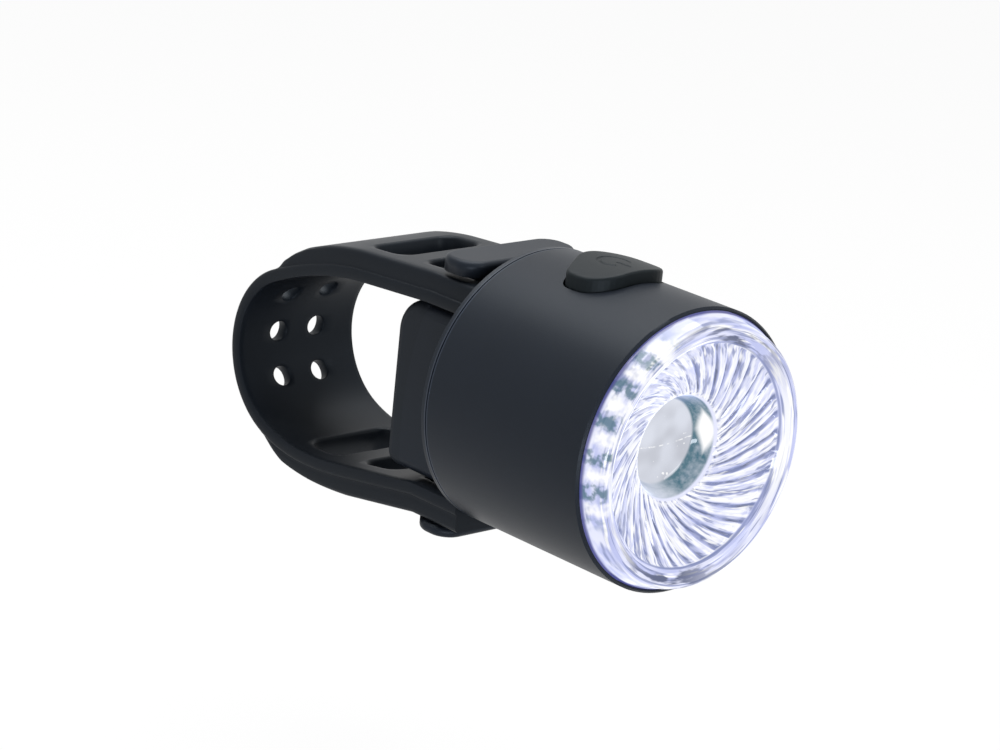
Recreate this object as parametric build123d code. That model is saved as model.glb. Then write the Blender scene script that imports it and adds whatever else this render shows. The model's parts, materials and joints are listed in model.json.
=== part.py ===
from build123d import *
import math
import os

# Bicycle headlight: a round lamp head, a rear mount block with two hooks, and a silicone ladder strap.
# Row frame: X across, +Y backwards, +Z up, in millimetres. The origin is the handlebar's axis.
# Lamp frame: w forwards from the head's back face, v up, x across, centred on the head's axis.

# Lamp head
head_r = 20.0
head_length = 31.2
head_back_y = -38.9
head_axis_z = 6.4
wall = 1.6
rim_round = 0.3
clearance = 0.3
fit_gap = 0.1
overrun = 1.0

# Rear cover
cover_t = 1.1
cover_plate_t = 1.9
seam_gap = 0.2
spigot_t = 1.4
spigot_length = 3.2
seal_wire = 0.9
seal_sides = 8
seal_groove_extra = 0.1

# Front lens
lens_stand = 3.15
lens_seat_depth = 3.0
rim_lip = 0.5
lens_draft = 0.75
lens_t = 1.8
lens_edge_round = 0.6
lens_ring_width = 3.05
flute_outer_drop = 1.45
flute_inner_drop = 4.75
well_r = 7.4
well_draft = 1.0
well_depth = 3.7
well_floor_t = 1.3
flute_count = 36
flute_height = 0.55
flute_sink = 0.35
flute_angle = 39.0
flute_round_share = 0.75
flute_steps = 3

# Lights and optics
led_board_gap = 1.0
led_board_t = 1.6
collimator_r = 6.2
collimator_neck_r = 3.3
collimator_gap = 0.3
collimator_pocket_r = 2.3
main_led_side = 3.5
main_led_t = 0.7
main_led_dome_r = 1.3
reflector_t = 0.9
ring_board_t = 0.8
ring_board_width = 2.9
ring_board_gap = 1.2
ring_led_count = 24
ring_led_side = 1.2
ring_led_t = 0.7
spreader_t = 1.5
spreader_gap = 4.5
top_flat_gap = 0.77
bottom_flat_gap = 0.5

# Power button, centred on the top of the head
button_lead = 0.4
button_half_width = 7.15
button_front = 5.2
button_side_end = 1.9
button_apex = 6.05
button_front_r = 4.6
button_side_r = 2.0
button_apex_r = 4.5
button_stand = 1.75
button_round = 0.5
button_flange = 0.8
button_flange_t = 0.8
button_travel = 0.5
symbol_ring_r = 2.1
symbol_line = 0.55
symbol_depth = 0.3
symbol_gap_angle = 70.0
symbol_bar_length = 2.7
plunger_r = 1.6
plunger_length = 2.0

# Inner parts
board_gap = 1.8
board_t = 1.2
board_top_gap = 1.2
chip_side = 5.4
chip_t = 1.0
coil_r = 2.8
coil_t = 2.0
charger_side = 3.8
chip_inset = 1.2
chip_v = -3.0
switch_size_x = 6.0
switch_size_w = 3.0
switch_height = 3.6
stem_r = 1.0
stem_stand = 0.9
stem_play = 0.05
cell_t = 7.0
cell_round = 1.6
foam_t = 0.5
foam_inset = 3.0
tray_wall = 1.0
tray_gap = 0.3
tray_boss_gap = 0.4
tray_corner_gap = 0.56
leg_inset = 4.0
leg_gap = 0.4
leg_width = 2.2
leg_height = 8.0
wire_r = 0.45
wire_pitch = 2.4
wire_inset = 2.5

# Charging port on the underside
port_x = 8.9
port_w_size = 3.2
port_depth = 7.0
port_shell = 0.35
port_tongue_t = 0.7
port_corner_r = 1.4
port_tongue_x = 6.2
port_back_t = 0.7
port_slot_gap = 0.6
port_sink = 2.6
port_pad_x = 15.4
port_pad_margin = 1.2
port_pad_depth = 3.6
flap_x = 11.6
flap_length = 6.4
flap_lead = 2.8
flap_depth = 1.9
flap_corner = 0.6
flap_swing_gap = 0.5
anchor_x = 5.0
anchor_length = 1.3

# Screws
cover_screw_angle = 24.83
boss_ring_gap = 0.435
screw_r = 0.9
screw_head_r = 1.75
screw_head_t = 1.0
screw_tip_gap = 1.5
boss_r = 1.7
boss_end_gap = 0.2
socket_r = 0.8
socket_depth = 0.6

# Mount block, hook posts and bar pad
mount_z = 3.6
block_x = 20.0
block_half_z = 12.5
pad_back_y = -21.2
pad_t = 3.2
seam_z = -1.5
seam_bulge_r = 50.0
pad_hollow_r = 60.0
pad_hollow_depth = 0.3
block_top_round = 5.0
block_bottom_round = 2.2
block_side_round = 1.8
post_side_gap = 2.0
post_gap = 0.4
post_depth = 4.2
post_corner = 1.4
head_plate_inset = 0.3
head_plate_depth = 7.3
head_plate_lead = 1.2
top_head_t = 2.2
bottom_head_t = 1.7
head_plate_corner = 3.2
head_plate_round = 0.8
bracket_screw_z = 6.0
bracket_head_r = 1.9
bracket_head_t = 1.1
bracket_screw_length = 10.0

# Strap
bar_r = 11.6
strap_x = 22.0
band_t = 1.9
arm_t = 4.6
grip_gap = 0.6
top_head_gap = 0.8
bottom_head_gap = 0.2
strap_end_gap = 0.5
seat_gap = 0.5
top_bend_rise = 4.1
bottom_bend_rise = 0.1
wrap_angle = 65.0
top_ramp_shares = ((-0.519, 1.422), (-0.185, 1.333), (0.015, 1.252), (0.222, 1.104), (0.311, 0.933))
bottom_ramp_shares = ((-0.415, -1.230), (-0.015, -1.170), (0.185, -1.052), (0.385, -0.911))
ramp_root_share = 0.9
ledge = 0.25
window_x = 15.0
window_corner = 2.2
bend_share = 0.365
top_window_shares = ((0.924, 0.612), (0.500, 0.3125))
bottom_window_shares = ((0.924, 0.690), (0.560, 0.365), (0.234, 0.052))
strap_hole_r = 1.5
strap_hole_x = 3.6
strap_hole_angle = 33.5
strap_hole_turn = 1.5

# Places worked out from the sizes above: the head's shell, cover and lens
bore_r = head_r - wall
seat_r = head_r - rim_lip
lens_base_w = head_length - lens_seat_depth
lens_front_w = head_length + lens_stand
shell_back_w = cover_t + seam_gap
spigot_r = bore_r - fit_gap
spigot_in_r = spigot_r - spigot_t
lens_base_r = seat_r - fit_gap
lens_rim_r = lens_base_r - lens_draft
flute_outer_r = lens_rim_r - lens_ring_width
well_floor_r = well_r - well_draft
well_floor_w = lens_front_w - flute_inner_drop - well_depth

# The cover screws, the cell in its tray and the control board
screw_circle_r = spigot_in_r - boss_r - boss_ring_gap
cover_screw_x = screw_circle_r * math.cos(math.radians(cover_screw_angle))
cover_screw_v = screw_circle_r * math.sin(math.radians(cover_screw_angle))
tray_half_x = cover_screw_x - boss_r - tray_boss_gap
tray_half_v = math.sqrt((spigot_in_r - tray_corner_gap) ** 2 - tray_half_x ** 2)
cell_x = 2 * (tray_half_x - tray_wall - tray_gap)
cell_v = 2 * (tray_half_v - tray_wall - tray_gap)
foam_x = cell_x - 2 * foam_inset
foam_v = cell_v - 2 * foam_inset
wire_v = cell_v / 2 - wire_inset
cell_w = cover_plate_t
tray_floor_w = cell_w + foam_t + cell_t + tray_gap
boss_w_end = tray_floor_w - boss_end_gap
screw_length = boss_w_end - screw_tip_gap
board_w = tray_floor_w + tray_wall
board_front_w = board_w + board_t
board_r = bore_r - board_gap
leg_x = bore_r - leg_inset
board_side_x = leg_x - leg_width / 2 - leg_gap
chip_x = board_side_x - chip_inset - coil_r

# The button over its switch
flange_r = bore_r - clearance
button_top_r = head_r + button_stand
switch_top_v = flange_r - button_flange_t - plunger_length - stem_stand
board_top_v = switch_top_v - board_top_gap
switch_w = board_front_w + switch_size_w / 2
button_w = switch_w + button_lead
button_front_w = button_w + button_front
button_side_end_w = button_w - button_side_end
button_apex_w = button_w - button_apex

# The charging port under its flap
port_centre_w = board_front_w + port_w_size / 2
port_mouth_v = -(head_r - port_sink)
port_pad_inner_v = -(head_r - port_pad_depth)
flap_hinge_w = port_centre_w - flap_lead
flap_seat_v = -(head_r - flap_depth)
flap_plug_top_v = port_mouth_v - clearance

# The lights in front of the boards
spreader_w = board_front_w + spreader_gap
led_board_w = spreader_w + spreader_t
led_front_w = led_board_w + led_board_t
led_board_r = bore_r - led_board_gap
top_flat_v = math.sqrt((flange_r - button_flange_t) ** 2 - (button_half_width + button_flange) ** 2) - top_flat_gap
bottom_flat_v = -port_pad_inner_v - bottom_flat_gap
reflector_w = led_front_w + reflector_t
ring_board_w = lens_base_w - wall
ring_board_out_r = bore_r - ring_board_gap
ring_board_in_r = ring_board_out_r - ring_board_width
ring_led_r = (ring_board_out_r + ring_board_in_r) / 2

# The strap and the hooks in its end windows
grip_half = block_half_z + grip_gap
strap_end_y = head_back_y + strap_end_gap
seam_y = pad_back_y - pad_t
band_r = bar_r + band_t
top_bend_z = bar_r + top_bend_rise
bottom_bend_z = -(bar_r + bottom_bend_rise)
post_x = window_x - 2 * post_side_gap
post_front_y = strap_end_y * top_window_shares[0][0] + post_gap
head_plate_front_y = post_front_y - head_plate_lead
head_plate_x = strap_x - 2 * head_plate_inset
seat_y = head_plate_front_y + head_plate_depth + seat_gap
bend_y = strap_end_y * bend_share


def lamp(shape):
    """Carry a shape from the lamp frame (x, v, w as X, Y, Z) into the row frame."""
    return Pos(0, head_back_y, head_axis_z) * Rot(90, 0, 0) * shape


def turned(points):
    """Solid of revolution about the lamp axis from a closed outline of (radius, w) points."""
    face = make_face(Polyline(*[(r, 0, w) for r, w in points], close=True))
    return revolve(face, Axis.Z, 360)


def rod(radius, length, x=0.0, v=0.0, w=0.0):
    """Cylinder along the lamp axis that starts at w."""
    return Pos(x, v, w) * Cylinder(radius, length, align=(Align.CENTER, Align.CENTER, Align.MIN))


def tube(outer, inner, length, w):
    """Ring along the lamp axis that starts at w."""
    return rod(outer, length, w=w) - rod(inner, length + 2 * overrun, w=w - overrun)


def slab(size_x, size_v, size_w, x=0.0, v=0.0, w=0.0):
    """Block centred on x and v that starts at w."""
    return Pos(x, v, w) * Box(size_x, size_v, size_w, align=(Align.CENTER, Align.CENTER, Align.MIN))


def upright(outline, low, high):
    """Raise an outline drawn in x and w to a block between two heights v."""
    plane = Plane(origin=(0, low, 0), x_dir=(1, 0, 0), z_dir=(0, 1, 0))
    return extrude(plane * outline, high - low)


def button_outline(grow=0.0):
    """Shield outline of the button in x and w: wide and blunt at the front, bluntly pointed at the back."""
    side = button_half_width
    shield = make_face(Polyline(
        (-side, -button_front_w), (side, -button_front_w), (side, -button_side_end_w),
        (0, -button_apex_w), (-side, -button_side_end_w), close=True))
    front = [v for v in shield.vertices() if abs(v.Y + button_front_w) < fit_gap]
    shield = fillet(front, button_front_r)
    near = [v for v in shield.vertices() if abs(v.Y + button_side_end_w) < fit_gap]
    shield = fillet(near, button_side_r)
    tip = [v for v in shield.vertices() if abs(v.Y + button_apex_w) < fit_gap]
    shield = fillet(tip, button_apex_r)
    return offset(shield, grow) if grow else shield


def button_block(grow, low_r, high_r):
    """The button's outline, raised between two cylinders about the lamp axis."""
    block = upright(button_outline(grow), 0, high_r + overrun)
    ring = tube(high_r, low_r, head_length, 0)
    return block & ring


def screw_places():
    """The four places of the cover screws in x and v."""
    return [(sx * cover_screw_x, sv * cover_screw_v) for sx in (-1, 1) for sv in (-1, 1)]


def housing_shell():
    """Cylinder with a lens seat in front, screw bosses, the button opening and the port pad."""
    seat_in = bore_r - wall / 2
    shell = turned([
        (bore_r, shell_back_w), (head_r, shell_back_w), (head_r, head_length - rim_round),
        (head_r - rim_round, head_length), (seat_r, head_length), (seat_r, lens_base_w),
        (seat_in, lens_base_w), (seat_in, lens_base_w - wall / 2), (bore_r, lens_base_w - wall),
    ])
    web_w = shell_back_w + spigot_length + clearance
    for x, v in screw_places():
        side = x / cover_screw_x
        web = slab(bore_r, boss_r, boss_w_end - web_w, x + side * bore_r / 2, v, web_w)
        boss = rod(boss_r, boss_w_end - cover_plate_t, x, v, cover_plate_t) + web
        shell += boss & rod(bore_r + wall / 2, head_length)
        shell -= rod(screw_r, boss_w_end, x, v, 0)
    shell -= upright(button_outline(clearance), 0, head_r + overrun)
    return shell + (port_pad() & rod(head_r, head_length)) - port_recess()


def port_pad():
    """Thickened floor round the charging port."""
    start = flap_hinge_w - anchor_length - port_pad_margin
    end = flap_hinge_w + flap_length + port_pad_margin
    return slab(port_pad_x, head_r, end - start, 0, port_pad_inner_v - head_r / 2, start)


def port_recess():
    """Flat-floored pocket for the flap, the slot of the charging port and the anchor's slot."""
    pocket_w = flap_hinge_w - clearance
    pocket_length = flap_length + clearance + flap_swing_gap
    pocket = slab(flap_x + 2 * clearance, head_r, pocket_length, 0, flap_seat_v - head_r / 2, pocket_w)
    outline = RectangleRounded(port_x + 2 * port_slot_gap, port_w_size + 2 * port_slot_gap, port_corner_r)
    slot = upright(Pos(0, -port_centre_w) * outline, -head_r - overrun, port_pad_inner_v + overrun)
    anchor = slab(anchor_x, head_r, anchor_length, 0, flap_seat_v - head_r / 2, flap_hinge_w - clearance - anchor_length)
    return pocket + slot + anchor


def rear_cover():
    """Disc with a spigot that carries the seal, and countersunk screw holes."""
    groove_w = shell_back_w + spigot_length / 2
    groove_half = seal_wire / 2 + seal_groove_extra
    groove_r = bore_r - seal_wire - seal_groove_extra
    end_w = shell_back_w + spigot_length
    cover = turned([
        (0, 0), (head_r - rim_round, 0), (head_r, rim_round), (head_r, cover_t), (spigot_r, cover_t),
        (spigot_r, groove_w - groove_half), (groove_r, groove_w - groove_half),
        (groove_r, groove_w + groove_half), (spigot_r, groove_w + groove_half),
        (spigot_r, end_w), (spigot_in_r, end_w), (spigot_in_r, cover_plate_t), (0, cover_plate_t),
    ])
    for x, v in screw_places():
        cover -= rod(screw_r + fit_gap, cover_plate_t + 2 * overrun, x, v, -overrun)
        cover -= countersink(screw_head_r + fit_gap, screw_head_t, x, v, 0, 1)
    for v in bracket_places():
        cover -= rod(screw_r + fit_gap, cover_plate_t + 2 * overrun, 0, v, -overrun)
        cover -= countersink(bracket_head_r + fit_gap, bracket_head_t, 0, v, cover_plate_t, -1)
    return cover


def bracket_places():
    """The two heights v of the screws that hold the mount block."""
    return [mount_z - head_axis_z + side * bracket_screw_z for side in (-1, 1)]


def countersink(head_radius, depth, x, v, w, side):
    """Screw head cone with its wide face at w, narrowing forwards for side 1 and backwards for -1."""
    cone = Cone(head_radius, screw_r - fit_gap / 2, depth, align=(Align.CENTER, Align.CENTER, Align.MIN))
    return Pos(x, v, w) * (cone if side > 0 else Rot(180, 0, 0) * cone)


def countersunk_screw(head_radius, head_t, length, x, v, w, side):
    """Countersunk screw with a hexagon socket, its head flush with w."""
    shaft = rod(screw_r - fit_gap / 2, length, x, v, w if side > 0 else w - length)
    socket = extrude(RegularPolygon(socket_r, 6), socket_depth, both=True)
    return shaft + countersink(head_radius, head_t, x, v, w, side) - Pos(x, v, w) * socket


def ring_seal(radius, w):
    """Sealing ring about the lamp axis, of eight-sided section."""
    section = Pos(radius, w) * Rot(0, 0, 180 / seal_sides) * RegularPolygon(seal_wire / 2, seal_sides, major_radius=False)
    return revolve(Plane.XZ * section, Axis.Z)


def cover_screws():
    """Four countersunk screws that hold the rear cover."""
    screws = [countersunk_screw(screw_head_r, screw_head_t, screw_length, x, v, 0, 1) for x, v in screw_places()]
    return Compound(children=screws)


def bracket_screws():
    """Two screws from inside the rear cover into the mount block."""
    screws = [countersunk_screw(bracket_head_r, bracket_head_t, bracket_screw_length, 0, v, cover_plate_t, -1)
              for v in bracket_places()]
    return Compound(children=screws)


def lens_front_w_at(radius):
    """Height of the lens's dished face at a radius between the well and the flute's outer circle."""
    share = (radius - well_r) / (flute_outer_r - well_r)
    inner = lens_front_w - flute_inner_drop
    outer = lens_front_w - flute_outer_drop
    return inner + (outer - inner) * share


def flute(index):
    """One rib on the dished face, along a logarithmic spiral that keeps flute_angle to the radius."""
    sections = []
    shoulder = flute_height * flute_round_share
    for step in range(flute_steps + 1):
        radius = well_r + lens_edge_round + (flute_outer_r - well_r - 2 * lens_edge_round) * step / flute_steps
        turn = math.tan(math.radians(flute_angle)) * math.log(radius / well_r)
        pitch = 2 * math.pi * radius / flute_count
        half = pitch * math.cos(math.radians(flute_angle)) / 2
        base = lens_front_w_at(radius)
        angle = 360 * index / flute_count + math.degrees(turn)
        along = angle + flute_angle
        centre = (radius * math.cos(math.radians(angle)), radius * math.sin(math.radians(angle)), base)
        ahead = (math.cos(math.radians(along)), math.sin(math.radians(along)), 0)
        side = (-math.sin(math.radians(along)), math.cos(math.radians(along)), 0)
        plane = Plane(origin=centre, x_dir=side, z_dir=ahead)
        top = Vector(0, 0, 1).dot(plane.y_dir)
        up = 1 if top > 0 else -1
        section = Polyline(
            (-half, -up * flute_sink), (-half / 2, up * shoulder), (0, up * flute_height),
            (half / 2, up * shoulder), (half, -up * flute_sink), close=True)
        sections.append(plane * make_face(section))
    return loft(sections, ruled=True)


def front_lens():
    """Clear cap: drafted side, bevelled ring, dished face with swirled flutes and a centre well."""
    base_r = lens_base_r
    rim_r = lens_rim_r
    outer_w = lens_front_w - flute_outer_drop
    inner_w = lens_front_w - flute_inner_drop
    floor_w = well_floor_w
    ring_r = (rim_r + flute_outer_r) / 2 + lens_edge_round
    body = turned([
        (0, floor_w), (well_floor_r, floor_w), (well_r, inner_w), (flute_outer_r, outer_w),
        (ring_r, lens_front_w), (rim_r - lens_edge_round, lens_front_w), (rim_r, lens_front_w - lens_edge_round),
        (base_r - fit_gap, head_length), (base_r, head_length - fit_gap), (base_r, lens_base_w + seal_wire),
        (base_r - lens_t, lens_base_w + seal_wire), (rim_r - lens_t, head_length),
        (flute_outer_r, outer_w - lens_t), (well_r + lens_t, inner_w - lens_t),
        (well_floor_r + well_floor_t, floor_w - well_floor_t), (0, floor_w - well_floor_t),
    ])
    ribs = [flute(index) for index in range(flute_count)]
    return body.fuse(*ribs)


def reflector():
    """Bright bowl from the ring board down to the LED board, open round the collimator."""
    rim_r = ring_board_in_r - clearance
    neck_r = collimator_neck_r + wall
    rim_w = ring_board_w
    return turned([
        (neck_r, reflector_w), (rim_r, rim_w), (bore_r - wall - fit_gap, rim_w),
        (bore_r - wall - fit_gap, rim_w - reflector_t), (rim_r + reflector_t / 2, rim_w - reflector_t),
        (neck_r + reflector_t, reflector_w - reflector_t), (neck_r, reflector_w - reflector_t),
    ])


def collimator():
    """Small clear cone over the main LED, with a pocket for the LED's dome."""
    base_w = led_front_w + main_led_t + fit_gap
    top_w = well_floor_w - well_floor_t - collimator_gap
    body = turned([
        (0, top_w), (collimator_r, top_w),
        (collimator_r, top_w - reflector_t), (collimator_neck_r, base_w), (0, base_w),
    ])
    return body - rod(collimator_pocket_r, main_led_dome_r + 4 * fit_gap, w=base_w - overrun / 2)


def flatted_disc(radius, thickness, w, top_v):
    """Disc cut flat on top, under the button, and at the bottom, over the port pad."""
    disc = rod(radius, thickness, w=w)
    keep = slab(2 * radius, top_v + bottom_flat_v, thickness, 0, (top_v - bottom_flat_v) / 2, w)
    return disc & keep


def wire_holes(w, thickness):
    """Two holes for the wires through a plate that starts at w."""
    holes = [rod(wire_r + fit_gap, thickness + 2 * overrun, side * wire_pitch / 2, wire_v, w - overrun)
             for side in (-1, 1)]
    return holes[0] + holes[1]


def led_board():
    """Round aluminium board with a flat on top that clears the button's flange."""
    board = flatted_disc(led_board_r, led_board_t, led_board_w, top_flat_v)
    return board - wire_holes(led_board_w, led_board_t)


def main_led():
    """Square LED package with its clear dome."""
    chip = slab(main_led_side, main_led_side, main_led_t, w=led_front_w)
    dome = Pos(0, 0, led_front_w + main_led_t) * Sphere(main_led_dome_r)
    dome = dome & rod(main_led_dome_r, 2 * main_led_dome_r, w=led_front_w)
    return chip + dome


def ring_board():
    """Narrow ring board behind the lens's rim."""
    return tube(ring_board_out_r, ring_board_in_r, ring_board_t, ring_board_w)


def ring_leds():
    """Small LEDs spaced evenly on the ring board."""
    leds = []
    for index in range(ring_led_count):
        led = slab(ring_led_side, ring_led_side, ring_led_t, ring_led_r, 0, ring_board_w + ring_board_t)
        leds.append(Rot(0, 0, 360 * index / ring_led_count) * led)
    return Compound(children=leds)


def heat_spreader():
    """Aluminium disc against the LED board's back, with wire holes."""
    disc = flatted_disc(bore_r - fit_gap, spreader_t, spreader_w, top_flat_v)
    return disc - wire_holes(spreader_w, spreader_t)


def button_cap():
    """Rubber button with a rounded top edge, an inner flange and a sunk power symbol."""
    cap = button_block(0, flange_r - button_flange_t, button_top_r)
    top_face = cap.faces().filter_by(GeomType.CYLINDER).sort_by(Axis.Y)[-1]
    cap = fillet(top_face.edges(), button_round)
    cap += button_block(button_flange, flange_r - button_flange_t, flange_r)
    return cap - power_symbol()


def power_symbol():
    """Broken ring and bar, sunk in the button's top, the bar towards the lens."""
    ring = Circle(symbol_ring_r + symbol_line / 2) - Circle(symbol_ring_r - symbol_line / 2)
    reach = 2 * symbol_ring_r
    half = math.radians(symbol_gap_angle / 2)
    gap = make_face(Polyline((0, 0), (-reach * math.sin(half), -reach * math.cos(half)),
                             (reach * math.sin(half), -reach * math.cos(half)), close=True))
    bar = Pos(0, -symbol_ring_r) * Rectangle(symbol_line, symbol_bar_length)
    mark = Pos(0, -button_w) * (ring - gap + bar)
    return upright(mark, button_top_r - symbol_depth, button_top_r + overrun)


def button_plunger():
    """Hard pin under the button cap that reaches the switch stem."""
    high = flange_r - button_flange_t
    outline = Pos(0, -switch_w) * Circle(plunger_r)
    return upright(outline, switch_top_v + stem_stand, high + overrun) & rod(high, head_length)


def tact_switch():
    """Switch body on the control board, with the bore of its stem."""
    body = slab(switch_size_x, switch_height, switch_size_w, 0, switch_top_v - switch_height / 2, board_front_w)
    bore = Pos(0, -switch_w) * Circle(stem_r + stem_play)
    return body - upright(bore, switch_top_v - button_travel - 2 * clearance, switch_top_v + overrun)


def switch_stem():
    """Round stem of the switch, carried by the button."""
    return upright(Pos(0, -switch_w) * Circle(stem_r), switch_top_v, switch_top_v + stem_stand)


def control_board():
    """Round board across the head on the tray, cut flat on top, below and at both sides."""
    board = flatted_disc(board_r, board_t, board_w, board_top_v)
    return board & slab(2 * board_side_x, 2 * board_r, board_t, w=board_w)


def board_parts():
    """Coil and chips on the control board's front."""
    coil = rod(coil_r, coil_t, chip_x, chip_v, board_front_w)
    driver = slab(chip_side, chip_side, chip_t, -chip_x, chip_v, board_front_w)
    charger = slab(charger_side, charger_side, chip_t, 0, 0, board_front_w)
    return Compound(children=[coil, driver, charger])


def charging_port():
    """Charging socket with its rounded shell, closed back and tongue, mouth down."""
    outer = RectangleRounded(port_x, port_w_size, port_corner_r)
    inner = RectangleRounded(port_x - 2 * port_shell, port_w_size - 2 * port_shell, port_corner_r - port_shell)
    place = Pos(0, -port_centre_w)
    end_v = port_mouth_v + port_depth
    body = upright(place * outer, port_mouth_v, end_v)
    body -= upright(place * inner, port_mouth_v - overrun, end_v - port_back_t)
    return body + upright(place * Rectangle(port_tongue_x, port_tongue_t), port_mouth_v + port_back_t, end_v)


def port_cover():
    """Rubber flap, flush with the head, with a low plug for the port's mouth."""
    lid_v = flap_seat_v - clearance
    lid = slab(flap_x, head_r, flap_length, 0, lid_v - head_r / 2, flap_hinge_w)
    lid = fillet(lid.edges().filter_by(Axis.Y), flap_corner)
    lid = lid & rod(head_r, head_length)
    plug = RectangleRounded(port_x, port_w_size, port_corner_r)
    return lid + upright(Pos(0, -port_centre_w) * plug, lid_v - fit_gap, flap_plug_top_v)


def port_anchor():
    """The flap's rubber root, pressed into its slot beside the hinge line."""
    start = flap_hinge_w - clearance - anchor_length
    block = slab(anchor_x, head_r, anchor_length - clearance, 0, flap_seat_v - head_r / 2, start)
    return block & rod(head_r, head_length)


def battery_cell():
    """Flat rechargeable cell with rounded sides."""
    cell = slab(cell_x, cell_v, cell_t, w=cell_w + foam_t)
    return fillet(cell.edges().filter_by(Axis.Y), cell_round)


def battery_pad():
    """Thin foam between the cell and the rear cover."""
    return slab(foam_x, foam_v, foam_t, w=cell_w)


def inner_frame():
    """Tray round the cell, with two legs that reach the heat spreader."""
    gap = 2 * tray_gap
    outer = slab(2 * tray_half_x, 2 * tray_half_v, board_w - cell_w, w=cell_w)
    inner = slab(cell_x + gap, cell_v + gap, tray_floor_w - cell_w + overrun, w=cell_w - overrun)
    frame = outer - inner
    arm_x = leg_x + leg_width / 2 - cell_x / 2
    for side in (-1, 1):
        frame += slab(leg_width, leg_height, spreader_w - tray_floor_w, side * leg_x, 0, tray_floor_w)
        frame += slab(arm_x, leg_height, tray_wall, side * (cell_x / 2 + arm_x / 2), 0, tray_floor_w)
    return frame - wire_holes(tray_floor_w, tray_wall)


def leads(start_w, end_w):
    """Two straight wires side by side along the lamp axis."""
    wires = [rod(wire_r, end_w - start_w, side * wire_pitch / 2, wire_v, start_w) for side in (-1, 1)]
    return Compound(children=wires)


def block_body():
    """Mount block and bar pad as one rounded form, before the seam parts them."""
    low, high = mount_z - block_half_z, mount_z + block_half_z
    depth = pad_back_y - head_back_y
    body = Pos(0, head_back_y + depth / 2, mount_z) * Box(block_x, depth, high - low)
    back = body.faces().sort_by(Axis.Y)[-1]
    across = back.edges().filter_by(Axis.X).sort_by(Axis.Z)
    body = fillet(across[-1], block_top_round)
    across = body.edges().filter_by(Axis.X).filter_by(lambda e: e.center().Z < low + fit_gap).sort_by(Axis.Y)
    body = fillet(across[-1], block_bottom_round)
    sides = body.edges().filter_by(lambda e: abs(abs(e.center().X) - block_x / 2) < fit_gap)
    body = fillet(sides.filter_by(lambda e: e.center().Y > head_back_y + fit_gap), block_side_round)
    hollow_y = pad_back_y - pad_hollow_depth + pad_hollow_r
    return body - Pos(0, hollow_y, mount_z) * Rot(0, 90, 0) * Cylinder(pad_hollow_r, block_x + 2 * overrun)


def seam_front():
    """Everything in front of the curved seam between the block and the pad."""
    return Pos(0, seam_y - seam_bulge_r, seam_z) * Rot(0, 90, 0) * Cylinder(seam_bulge_r, block_x + 2 * overrun)


def hook(side, gap, thickness):
    """Post and wide head of one hook; side is 1 above the block and -1 below it."""
    plate_z = mount_z + side * (grip_half + arm_t + gap)
    post_start = mount_z + side * (block_half_z - wall)
    post = Pos(0, post_front_y + post_depth / 2, (post_start + plate_z) / 2) * Box(
        post_x, post_depth, abs(plate_z - post_start))
    post = fillet(post.edges().filter_by(Axis.Z), post_corner)
    outline = RectangleRounded(head_plate_x, head_plate_depth, head_plate_corner)
    plate = Pos(0, head_plate_front_y + head_plate_depth / 2, plate_z) * extrude(outline, side * thickness)
    far = plate.faces().sort_by(Axis.Z)[-1 if side > 0 else 0]
    return post + fillet(far.edges(), head_plate_round)


def mount_block():
    """Rounded block with a hook above and below, and blind screw holes in its front."""
    block = block_body() & seam_front()
    block = block + hook(1, top_head_gap, top_head_t) + hook(-1, bottom_head_gap, bottom_head_t)
    for side in (-1, 1):
        hole = Cylinder(screw_r, bracket_screw_length, align=(Align.CENTER, Align.CENTER, Align.MIN))
        block -= Pos(0, head_back_y, mount_z + side * bracket_screw_z) * Rot(-90, 0, 0) * hole
    return block


def bar_pad():
    """Rubber pad on the block's back, hollowed a little for the bar."""
    return block_body() - seam_front()


def arm_points(side, offset):
    """Hook end, seat, bend and wrap points of one arm's line, offset outwards, with its last directions."""
    bend_z = top_bend_z if side > 0 else bottom_bend_z
    level = mount_z + side * (grip_half + offset)
    seat = Vector(seat_y, mount_z + side * grip_half)
    bend = Vector(bend_y, bend_z)
    along = (bend - seat).normalized()
    out = Vector(-along.Y, along.X) * side
    angle = math.radians(wrap_angle)
    wrap = Vector(math.cos(angle), side * math.sin(angle)) * (bar_r + offset)
    wrap_along = Vector(math.sin(angle), -side * math.cos(angle))
    return Vector(strap_end_y, level), Vector(seat_y, level), bend + out * offset, wrap, along, wrap_along


def arm_line(side, offset):
    """Edges of one arm's face line: along the hook, down to the bend, and on to the wrap round the bar."""
    start, seat, bend, wrap, along, wrap_along = arm_points(side, offset)
    return [Line(start, seat), Line(seat, bend), Spline(bend, wrap, tangents=(along, wrap_along))]


def side_face(edges):
    """Face in the side plane from edges drawn in (y, z), centred for an extrusion both ways."""
    plane = Plane(origin=(0, 0, 0), x_dir=(0, 1, 0), z_dir=(1, 0, 0))
    return plane * make_face(edges)


def strap_band():
    """Thin inner layer of the strap from hook to hook, round the bar."""
    inner_top, outer_top = arm_line(1, 0), arm_line(1, band_t)
    inner_low, outer_low = arm_line(-1, 0), arm_line(-1, band_t)
    arcs = [ThreePointArc(top[-1] @ 1, (radius, 0), low[-1] @ 1)
            for top, low, radius in ((inner_top, inner_low, bar_r), (outer_top, outer_low, bar_r + band_t))]
    ends = [Line(inner[0] @ 0, outer[0] @ 0) for inner, outer in ((inner_top, outer_top), (inner_low, outer_low))]
    return extrude(side_face(inner_top + outer_top + inner_low + outer_low + arcs + ends), strap_x / 2, both=True)


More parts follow.
